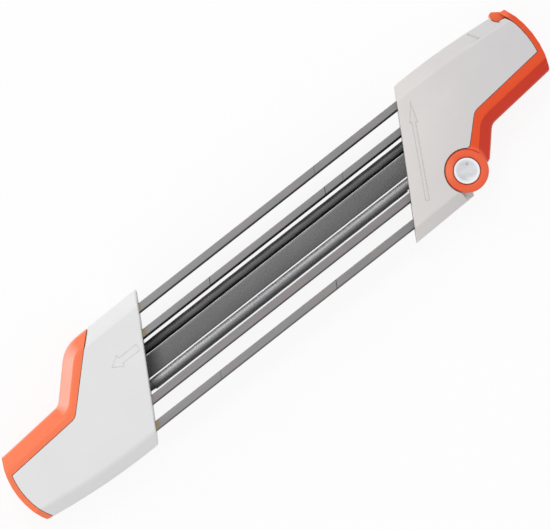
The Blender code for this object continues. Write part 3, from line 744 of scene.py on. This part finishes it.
flat_file = begin(bpy.ops.mesh.primitive_cube_add, "flat_file_cut", size=1)
flat_file.scale = (RAMP * FLAT_PITCH, width, core)
flat_file.location.x = RAMP / 2 * FLAT_PITCH
settle(flat_file)
pick(flat_file, "FACE", lambda face: face.normal.x > 0.9)
bpy.ops.transform.resize(value=(1, 1, thickness / core))
draw_out((DROP * FLAT_PITCH, 0, 0), (1, 1, core / thickness))
done()
pick(flat_file, "FACE", is_joint)
bpy.ops.mesh.delete(type="FACE")
done()
for vertex in flat_file.data.vertices:
    vertex.co.x += SLANT * vertex.co.y
repeat(flat_file, slices, (FLAT_PITCH, 0, 0))
flat_file.location = (cut_start - SLANT * width / 2 - FLAT_PITCH, (low.y + high.y) / 2, (low.z + high.z) / 2)
settle(flat_file)
for plane, way in ((high.x, 1), (cut_start, -1)):
    pick(flat_file, "FACE")
    bpy.ops.mesh.bisect(plane_co=(plane, 0, 0), plane_no=(way, 0, 0), use_fill=True, clear_outer=True)
    done()
for side, further in ((1, 0.35 * MM), (-1, 0.25 * MM)):
    pick(flat_file, "VERT", lambda vertex: vertex.co.y * side > 0.9 * high.y and abs(vertex.co.x) < SHOWN)
    bpy.ops.transform.translate(value=(0, side * further, 0))
    done()
print("slices:", slices)

# %% [markdown]
# The shoulders step in to the tang, and the tang narrows to its tip. Each step scales the new end.

# %% Shoulders and tang
BREAK, SHOULDER, TANG_LENGTH = 0.4 * MM, 3.0 * MM, 30.0 * MM
TANG_WIDTH, TIP_WIDTH = 5.6 * MM, 2.0 * MM
pick(flat_file, "FACE", lambda face: face.normal.x < -0.9)
for step, across, deep in (
        (BREAK, 0.97, 0.94),
        (SHOULDER - BREAK, TANG_WIDTH / width, 1.0),
        (TANG_LENGTH, TIP_WIDTH / TANG_WIDTH, 0.62)):
    draw_out((-step, 0, 0), (1, across, deep))
done()
face_outwards(flat_file)
describe(stand_for(flat_file, "flat_file"))

# %% [markdown]
# ## Pivot caps
#
# A white cap fills the lever's ring on each side. It is a dished disc with a rolled rim, and the plastic was
# let into the mould at one spot, the gate, which left a small ring near the edge. The dish is drawn inwards
# in steps from a 96-sided disc, and the rim is bevelled.

# %% Pivot caps
ROLL_WIDTH = 0.45 * MM
DISH = ((0.45, 0.42), (0.8, 0.34), (1.4, 0.22), (1.8, 0.08))  # steps in and down, in mm
GATE = UP * 3.6 * MM  # from the cap's middle


def make_cap(node, up):
    """A dished cap; up is 1 for the upper cap and -1 for the lower one."""
    low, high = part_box(node)
    radius, height = (high.x - low.x) / 2, high.z - low.z
    cap = begin(bpy.ops.mesh.primitive_cylinder_add, node + "_dish", vertices=96, radius=radius, depth=height)
    pick(cap, "FACE", lambda face: face.normal.z > 0.9)
    bpy.ops.mesh.inset(thickness=0.5 * MM)
    bpy.ops.mesh.inset(thickness=0.35 * MM)
    for inward, down in DISH:
        bpy.ops.mesh.extrude_region_move(TRANSFORM_OT_translate={"value": (0, 0, -down * MM)})
        reach = max(v.co.xy.length for v in bmesh.from_edit_mesh(cap.data).verts if v.select)
        share = 1 - inward * MM / reach
        bpy.ops.transform.resize(value=(share, share, 1))
    done()
    pick(cap, "EDGE", lambda edge: all(
        abs(v.co.xy.length - radius) < 1e-6 and v.co.z > 0 for v in edge.verts))
    bpy.ops.mesh.bevel(offset=ROLL_WIDTH, segments=4)
    done()
    cap.rotation_euler.x = 0 if up > 0 else math.pi
    cap.location = (low + high) / 2
    settle(cap)
    gate = begin(bpy.ops.mesh.primitive_cylinder_add, "gate", vertices=20, radius=0.7 * MM, depth=MM)
    place = (low + high) / 2 + GATE
    surface = cap.ray_cast(Vector((place.x, place.y, place.z + up * 20 * MM)), Vector((0, 0, -up)))[1]
    gate.location = (place.x, place.y, surface.z + up * 0.36 * MM)  # it is 0.14 mm deep
    settle(gate)
    cut_away(cap, gate)
    alone(cap)
    bpy.ops.object.shade_smooth_by_angle(angle=math.radians(50))
    describe(cap)
    return stand_for(cap, node)


caps = [make_cap("upper_pivot_cap", 1), make_cap("lower_pivot_cap", -1)]

# %% [markdown]
# ## Finishes
#
# Nothing real has one flat colour. Each finish here starts as a Principled shader with its plain values on
# the sockets, and noise on Object coordinates, which are metres on the piece, adds the cloudiness, the grain
# and the wear. These helpers add one node or two at a time.

# %% Helpers for finishes
def new_finish(name, colour, roughness, metallic=0.0):
    """A Principled material; returns it with its node tree, its shader and its Object coordinates."""
    material = bpy.data.materials.new(name)
    material.use_nodes = True
    tree = material.node_tree
    shader = tree.nodes["Principled BSDF"]
    shader.inputs["Base Color"].default_value = (*colour, 1)
    shader.inputs["Roughness"].default_value = roughness
    shader.inputs["Metallic"].default_value = metallic
    return material, tree, shader, tree.nodes.new("ShaderNodeTexCoord").outputs["Object"]


def noise(tree, place, per_metre, detail, stretch=(1, 1, 1), turn=0.0):
    """Cloudy noise of a given fineness, which can be stretched into streaks and turned about Z."""
    mapping = tree.nodes.new("ShaderNodeMapping")
    mapping.inputs["Scale"].default_value = stretch
    mapping.inputs["Rotation"].default_value = (0, 0, turn)
    clouds = tree.nodes.new("ShaderNodeTexNoise")
    clouds.inputs["Scale"].default_value = per_metre
    clouds.inputs["Detail"].default_value = detail
    tree.links.new(place, mapping.inputs["Vector"])
    tree.links.new(mapping.outputs[0], clouds.inputs["Vector"])
    return clouds.outputs["Fac"]


def spread(tree, value, from_low, from_high, to_low, to_high):
    """Moves a value from one range to another, and holds it inside the new one."""
    ranges = tree.nodes.new("ShaderNodeMapRange")
    for index, number in enumerate((from_low, from_high, to_low, to_high), 1):
        ranges.inputs[index].default_value = number
    tree.links.new(value, ranges.inputs[0])
    return ranges.outputs[0]


def ramp(tree, value, *stops):
    """Colours along a value; a stop is its position and its colour."""
    colours = tree.nodes.new("ShaderNodeValToRGB")
    elements = colours.color_ramp.elements
    while len(elements) < len(stops):
        elements.new(0.5)
    for element, (position, colour) in zip(elements, stops):
        element.position = position
        element.color = (*colour, 1)
    tree.links.new(value, colours.inputs[0])
    return colours.outputs[0]


def mix(tree, share, first, second):
    """Blends two colours by a share; a colour is a socket or three numbers."""
    blend = tree.nodes.new("ShaderNodeMix")
    blend.data_type = "RGBA"
    tree.links.new(share, blend.inputs[0])
    for socket, colour in ((blend.inputs[6], first), (blend.inputs[7], second)):
        if isinstance(colour, tuple):
            socket.default_value = (*colour, 1)
        else:
            tree.links.new(colour, socket)
    return blend.outputs[2]


def multiply(tree, first, second):
    """One colour times another."""
    product = tree.nodes.new("ShaderNodeMix")
    product.data_type, product.blend_type = "RGBA", "MULTIPLY"
    product.inputs[0].default_value = 1
    tree.links.new(first, product.inputs[6])
    tree.links.new(second, product.inputs[7])
    return product.outputs[2]


def times(colour, share):
    """A colour made darker or paler by a share."""
    return tuple(number * share for number in colour)


def part_of(tree, vector, axis):
    """One coordinate of a vector."""
    split = tree.nodes.new("ShaderNodeSeparateXYZ")
    tree.links.new(vector, split.inputs[0])
    return split.outputs[axis]


def along(tree, place, axis, start, end):
    """How far a place is from one coordinate to another, 0 to 1."""
    return spread(tree, part_of(tree, place, axis), start, end, 0, 1)


def facing(tree, direction, low, high, most):
    """A share that grows as the surface, in object space, turns towards a direction."""
    turned = tree.nodes.new("ShaderNodeVectorMath")
    turned.operation = "DOT_PRODUCT"
    turned.inputs[1].default_value = direction
    tree.links.new(tree.nodes.new("ShaderNodeTexCoord").outputs["Normal"], turned.inputs[0])
    return spread(tree, turned.outputs["Value"], low, high, 0, most)


def near(tree, place, centre, inner, outer):
    """One within inner of a point and none beyond outer."""
    gap = tree.nodes.new("ShaderNodeVectorMath")
    gap.operation = "DISTANCE"
    gap.inputs[1].default_value = centre
    tree.links.new(place, gap.inputs[0])
    return spread(tree, gap.outputs["Value"], inner, outer, 1, 0)


def coat(tree, shader, colour, grain, smoothest, roughest):
    """Gives a shader its colour, and a roughness that follows a grain."""
    tree.links.new(colour, shader.inputs["Base Color"])
    tree.links.new(spread(tree, grain, 0.3, 0.7, smoothest, roughest), shader.inputs["Roughness"])


def relief(tree, shader, height, depth, strength):
    """Turns a value into bumps of a depth in metres. A later call goes on top of an earlier one."""
    bump = tree.nodes.new("ShaderNodeBump")
    bump.inputs["Strength"].default_value = strength
    bump.inputs["Distance"].default_value = depth
    tree.links.new(height, bump.inputs["Height"])
    if shader.inputs["Normal"].links:
        tree.links.new(shader.inputs["Normal"].links[0].from_socket, bump.inputs["Normal"])
    tree.links.new(bump.outputs[0], shader.inputs["Normal"])


def dress(piece, material):
    """Gives a whole piece one material."""
    piece.data.materials.clear()
    piece.data.materials.append(material)


# %% [markdown]
# ## Moulded plastic
#
# The casings are pale and nearly matt, the orange pieces a little glossier. The colour clouds by a hundredth
# or two over a few centimetres, as filled plastic does, and the mould's fine spark texture breaks the gloss.
# Handling leaves thin rubbed streaks, which are stretched noise cut off high, so that only a few show.

# %% Moulded plastic
WHITE = (1, 1, 1)


def along_slant(tree, place):
    """The place along the tool, counted from a line as slanted as the handles' inner faces."""
    across = calculate(tree, "MULTIPLY", part_of(tree, place, 1), -math.tan(GUIDE_ANGLE))
    return calculate(tree, "ADD", part_of(tree, place, 0), across)


def moulded(name, colour, cloud, rubbed, roughness, gloss=0.5, drift=None, faces=(), painted_highlights=()):
    """Moulded plastic. drift shifts its colour along the tool, faces paints light by direction, the last list
    paints highlights by place.
    """
    material, tree, shader, place = new_finish(name, colour, roughness)
    shader.inputs["Specular IOR Level"].default_value = gloss
    shade = ramp(tree, noise(tree, place, 42, 3), (0.32, (1 - 2 * cloud,) * 3), (0.68, WHITE))
    if drift:
        start, end, *stops = drift
        plain = ramp(tree, spread(tree, along_slant(tree, place), start, end, 0, 1), *stops)
    else:
        plain = ramp(tree, noise(tree, place, 25, 1), (0.3, times(colour, 1 - cloud)), (0.7, colour))
    shade = multiply(tree, shade, plain)
    # painted light and shade by the direction a surface faces
    for direction, low, high, most, other in faces:
        shade = mix(tree, facing(tree, direction, low, high, most), shade, other)
    # painted highlights by place
    for centre, inner, outer, other in painted_highlights:
        shade = mix(tree, near(tree, place, centre, inner, outer), shade, other)
    streaks = noise(tree, place, 260, 4, stretch=(0.25, 1.6, 1), turn=math.radians(24))
    shade = mix(tree, spread(tree, streaks, 0.66, 0.74, 0, 0.35), shade, rubbed)
    coat(tree, shader, shade, noise(tree, place, 75, 3), roughness - 0.06, roughness + 0.07)
    relief(tree, shader, noise(tree, place, 1500, 2), 0.03 * MM, 0.35)
    relief(tree, shader, noise(tree, place, 28, 1), 0.15 * MM, 0.25)
    return material


RING = Vector((110.4, -22.5, 30)) * MM  # the middle of the lever's ring, on top
HOOK = Vector((171.5, 33.5, 27)) * MM  # the round end of its hook
casing_left = moulded(
    "casing_left", (0.77, 0.77, 0.768), cloud=0.012, rubbed=(0.80, 0.80, 0.79), roughness=0.46)
casing_right = moulded(
    "casing_right", (0.645, 0.622, 0.61), cloud=0.012, rubbed=(0.72, 0.71, 0.70), roughness=0.44,
    drift=(78 * MM, 170 * MM,
           (0, (0.725, 0.685, 0.655)), (0.4, (0.648, 0.625, 0.612)), (1, (0.61, 0.592, 0.60))))
trim_orange = moulded(
    "trim_orange", (0.96, 0.19, 0.07), cloud=0.02, rubbed=(1.0, 0.30, 0.17), roughness=0.36,
    # a painted sheen, paler and pinker, where the trim faces the low softbox
    faces=[(LEFT, 0.5, 0.66, 0.8, (0.97, 0.40, 0.30))])
lever_orange = moulded(
    "lever_orange", (0.66, 0.03, 0.003), cloud=0.03, rubbed=(0.84, 0.14, 0.06), roughness=0.3, gloss=0.25,
    # painted light: the flat top is painted paler than the slopes, which keep the base colour as a painted
    # shade, and faces towards the low softbox get a painted highlight
    faces=[
        ((0, 0, 1), 0.72, 0.96, 1.0, (0.77, 0.075, 0.015)),
        (LEFT, 0.25, 0.7, 0.75, (0.95, 0.26, 0.13))],
    # painted highlights on the ring's dome, on its side towards the low softbox, and on the hook's round end
    painted_highlights=[
        (RING, 12 * MM, 14 * MM, (0.83, 0.12, 0.045)),
        (RING + LEFT * 11 * MM, 3 * MM, 8 * MM, (0.9, 0.18, 0.08)),
        (HOOK, 7 * MM, 10 * MM, (0.87, 0.16, 0.055))])
orange = {"left_grip_trim": (trim_orange, "orange_trim"), "latch_lever": (lever_orange, "orange_lever")}
for name, piece in mouldings.items():
    casing = casing_left if name.startswith("left") else casing_right
    material, slot = orange.get(name, (casing, "pale_casing"))
    dress(piece, material)
    print(name, "is dressed in", material.name)

# %% [markdown]
# ## Steel
#
# The rails' tops are ground lengthwise and reflect the pale room. Their sides and worn edges get a painted
# shade: near black below the top and on the faces towards -Y, and partly dark on the faces towards +Y. The
# bars are stamped.
# The surface normal in object space tells the faces apart. Welding to the plate inside the left handle has
# left a straw-coloured band on each rail beside it.

# %% Rail steel
RAIL_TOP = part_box("outer_rail_upper")[1].z
# the painted shade of the sides begins at the first of these heights and is full at the second
SIDE_SHADE_START, SIDE_SHADE_END = RAIL_TOP - 0.08 * MM, RAIL_TOP - 0.18 * MM  # where the grinding fades
HEAT_START, HEAT_END = -84.8 * MM, -83.9 * MM  # the tint fades between these, counted on the slant
STRAW = (0.30, 0.25, 0.15)


def ground_steel(name, bright, dark, heat):
    """A ground bar: bright on top, with painted shade on its sides and edges, tinted by heat beside the left
    handle.
    """
    material, tree, shader, place = new_finish(name, bright, 0.34, metallic=1.0)
    shade = mix(tree, along(tree, place, 0, -90 * MM, 110 * MM), times(bright, 1.1), times(bright, 0.82))
    blotches = spread(tree, noise(tree, place, 90, 3, stretch=(0.7, 1, 1)), 0.45, 0.62, 0, 0.6)
    shade = mix(tree, blotches, shade, (bright[0] * 1.12, bright[1], bright[2] * 0.98))
    lines = noise(tree, place, 1400, 3, stretch=(0.03, 1, 1))
    shade = mix(tree, spread(tree, lines, 0.4, 0.7, 0, 0.5), shade, times(bright, 0.78))
    shade = mix(tree, spread(tree, along_slant(tree, place), HEAT_START, HEAT_END, 0.8, 0), shade, heat)
    sideways = part_of(tree, tree.nodes.new("ShaderNodeTexCoord").outputs["Normal"], 1)
    # painted shade: near black below the top, full on faces towards -Y and partly on faces towards +Y
    shade = mix(tree, along(tree, place, 2, SIDE_SHADE_START, SIDE_SHADE_END), shade, (0.02, 0.02, 0.02))
    shade = mix(tree, spread(tree, sideways, -0.12, -0.4, 0, 1), shade, dark)
    shade = mix(tree, spread(tree, sideways, 0.4, 0.8, 0, 0.7), shade, dark)
    coat(tree, shader, shade, lines, 0.28, 0.42)
    relief(tree, shader, lines, 0.02 * MM, 0.4)
    return material


# each rail: the colour of its ground top, the painted shade of its sides and edges, and its heat tint
rail_steels = [
    ground_steel("steel_outer_upper", (0.275, 0.275, 0.28), (0.05, 0.048, 0.05), (0.33, 0.31, 0.26)),
    ground_steel("steel_inner_upper", (0.27, 0.268, 0.275), (0.02, 0.018, 0.02), STRAW),
    ground_steel("steel_inner_lower", (0.27, 0.257, 0.262), (0.11, 0.108, 0.11), (0.34, 0.27, 0.26)),
    ground_steel("steel_outer_lower", (0.27, 0.268, 0.27), (0.14, 0.135, 0.135), STRAW),
]
for rail, material in zip(rails, rail_steels):
    dress(rail, material)
dress(frame["nodes"]["rail_plate"], rail_steels[-1])
print("rail steel on:", [rail.name for rail in rails])

# %% [markdown]
# The files are harder, darker steel, and their greys from side to side are painted light and shade. The flat
# one is dull and even, with a painted shade along its -Y edge and a painted highlight near its +Y edge. The
# upper round one is darker all over, with a faint painted highlight towards its +Y side, and the lower one is
# paler and less of a mirror, painted bright on its +Y flank and darker towards -Y. Oil and filings lie in
# patches along each, and all three carry a painted shadow of the left handle close to it.

# %% File steel
HANDLE_FACE = -85 * MM  # the left handle's inner face, counted on the slant


def file_steel(name, levels, low_y, high_y, roughness, patch, reach, metallic=1.0):
    """Hardened file steel: its painted light and shade from side to side, its patches, and how far the
    painted shadow of the left handle reaches.
    """
    body = levels[len(levels) // 2][1]
    material, tree, shader, place = new_finish(name, (body, body, body), roughness, metallic)
    # the greys from side to side are painted light and shade
    greys = [(position, (level, level, level * 1.01)) for position, level in levels]
    shade = ramp(tree, along(tree, place, 1, low_y, high_y), *greys)
    darker = mix(tree, along(tree, place, 0, -80 * MM, 110 * MM), WHITE, (0.84, 0.84, 0.84))
    shade = multiply(tree, shade, darker)
    # a painted shadow of the left handle, near black beside it
    shadow = spread(tree, along_slant(tree, place), HANDLE_FACE, HANDLE_FACE + reach, 0.62, 0)
    shade = mix(tree, shadow, shade, (0.01, 0.01, 0.011))
    patches = noise(tree, place, patch, 3, stretch=(0.35, 1, 1))
    shade = multiply(tree, shade, ramp(tree, patches, (0.35, (0.86, 0.86, 0.87)), (0.65, WHITE)))
    specks = noise(tree, place, 1100, 2)
    shade = multiply(tree, shade, ramp(tree, specks, (0.35, (0.8, 0.8, 0.8)), (0.7, WHITE)))
    coat(tree, shader, shade, specks, roughness - 0.05, roughness + 0.08)
    relief(tree, shader, specks, 0.02 * MM, 0.4)
    return material


sides = [vertex.co.y for vertex in flat_file.data.vertices]
# flat file: painted shade along its -Y edge, painted highlight near its +Y edge
flat_steel = file_steel(
    "flat_file_steel", ((0, 0.02), (0.06, 0.16), (0.5, 0.2), (0.92, 0.23), (0.95, 0.34), (1, 0.2)),
    min(sides), max(sides), roughness=0.42, patch=60, reach=9 * MM)
low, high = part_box("round_file_upper")
# upper round file: darker all over, a faint painted highlight towards +Y, dark at both edges
dark_file_steel = file_steel(
    "dark_round_file_steel",
    ((0, 0.03), (0.12, 0.06), (0.22, 0.2), (0.4, 0.18), (0.6, 0.26), (0.7, 0.3), (0.8, 0.18), (1, 0.06)),
    low.y, high.y, roughness=0.55, patch=80, reach=32 * MM)
low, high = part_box("round_file_lower")
# lower round file: painted bright on its +Y flank and darker towards -Y
bright_steel = file_steel(
    "bright_file_steel",
    ((0, 0.12), (0.16, 0.18), (0.36, 0.3), (0.45, 0.4), (0.55, 0.58), (0.64, 0.84), (0.72, 1.0), (1, 1.0)),
    low.y, high.y, roughness=0.62, patch=80, reach=6 * MM, metallic=0.15)
for piece, material in ((flat_file, flat_steel), (round_file, dark_file_steel), (second_file, bright_steel)):
    dress(piece, material)
    print(piece.name, "is dressed in", material.name)

# %% [markdown]
# ## The small and the hidden pieces
#
# The caps are a cooler and glossier white than the casings, with a painted highlight on the rim, painted
# shade in the dish and a grey smudge where the plastic was let in.
# The seats inside the handles are dark plastic, and the screws and the cam shaft are plated steel with fine
# turning lines. They hardly show at rest, but the lever opens, so each has its own finish.

# %% Caps, seats and screws
DISH_EDGE, RIM_EDGE = 4.9 * MM, 5.9 * MM  # from the cap's middle


def cap_plastic(centre):
    """Cool glossy white, with a painted highlight on the rim and a cloudy painted shade in the dish."""
    material, tree, shader, place = new_finish("cap_white", (0.79, 0.80, 0.83), 0.24)
    mapping = tree.nodes.new("ShaderNodeMapping")
    mapping.inputs["Location"].default_value = (-centre.x, -centre.y, 0)
    mapping.inputs["Scale"].default_value = (1, 1, 0)
    tree.links.new(place, mapping.inputs["Vector"])
    length = tree.nodes.new("ShaderNodeVectorMath")
    length.operation = "LENGTH"
    tree.links.new(mapping.outputs[0], length.inputs[0])
    clouds = noise(tree, place, 260, 3)
    dish = ramp(tree, clouds, (0.35, (0.60, 0.61, 0.63)), (0.62, (0.70, 0.71, 0.72)))
    outside = spread(tree, length.outputs["Value"], DISH_EDGE, RIM_EDGE, 0, 1)
    # a painted highlight on the rim over the dish's cloudy painted shade
    shade = mix(tree, outside, dish, (0.86, 0.87, 0.89))
    smudge = near(tree, mapping.outputs[0], GATE, 0.3 * MM, 1.3 * MM)
    shade = mix(tree, smudge, shade, (0.45, 0.46, 0.48))
    coat(tree, shader, shade, clouds, 0.2, 0.32)
    relief(tree, shader, noise(tree, place, 900, 2), 0.02 * MM, 0.3)
    return material


def plated_steel():
    """Plated steel with turning lines."""
    material, tree, shader, place = new_finish("plated_steel", (0.5, 0.5, 0.5), 0.28, metallic=1.0)
    lines = noise(tree, place, 2600, 2, stretch=(0.2, 0.2, 1.0))
    shade = ramp(tree, lines, (0.35, (0.40, 0.40, 0.41)), (0.65, (0.56, 0.56, 0.55)))
    coat(tree, shader, shade, lines, 0.22, 0.38)
    relief(tree, shader, lines, 0.01 * MM, 0.4)
    return material


cap_white = cap_plastic(sum(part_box("upper_pivot_cap"), Vector()) / 2)
for cap in caps:
    dress(cap, cap_white)
seat_plastic = moulded(
    "seat_plastic", (0.045, 0.045, 0.047), cloud=0.1, rubbed=(0.08, 0.08, 0.08), roughness=0.5)
plated = plated_steel()
for name, node in frame["nodes"].items():
    if name.endswith("file_seat"):
        dress(node, seat_plastic)
    elif "screw" in name or name == "cam_shaft":
        dress(node, plated)
showing = [name for name, node in frame["nodes"].items() if not node.hide_render]
print("measured parts that still show:", showing)
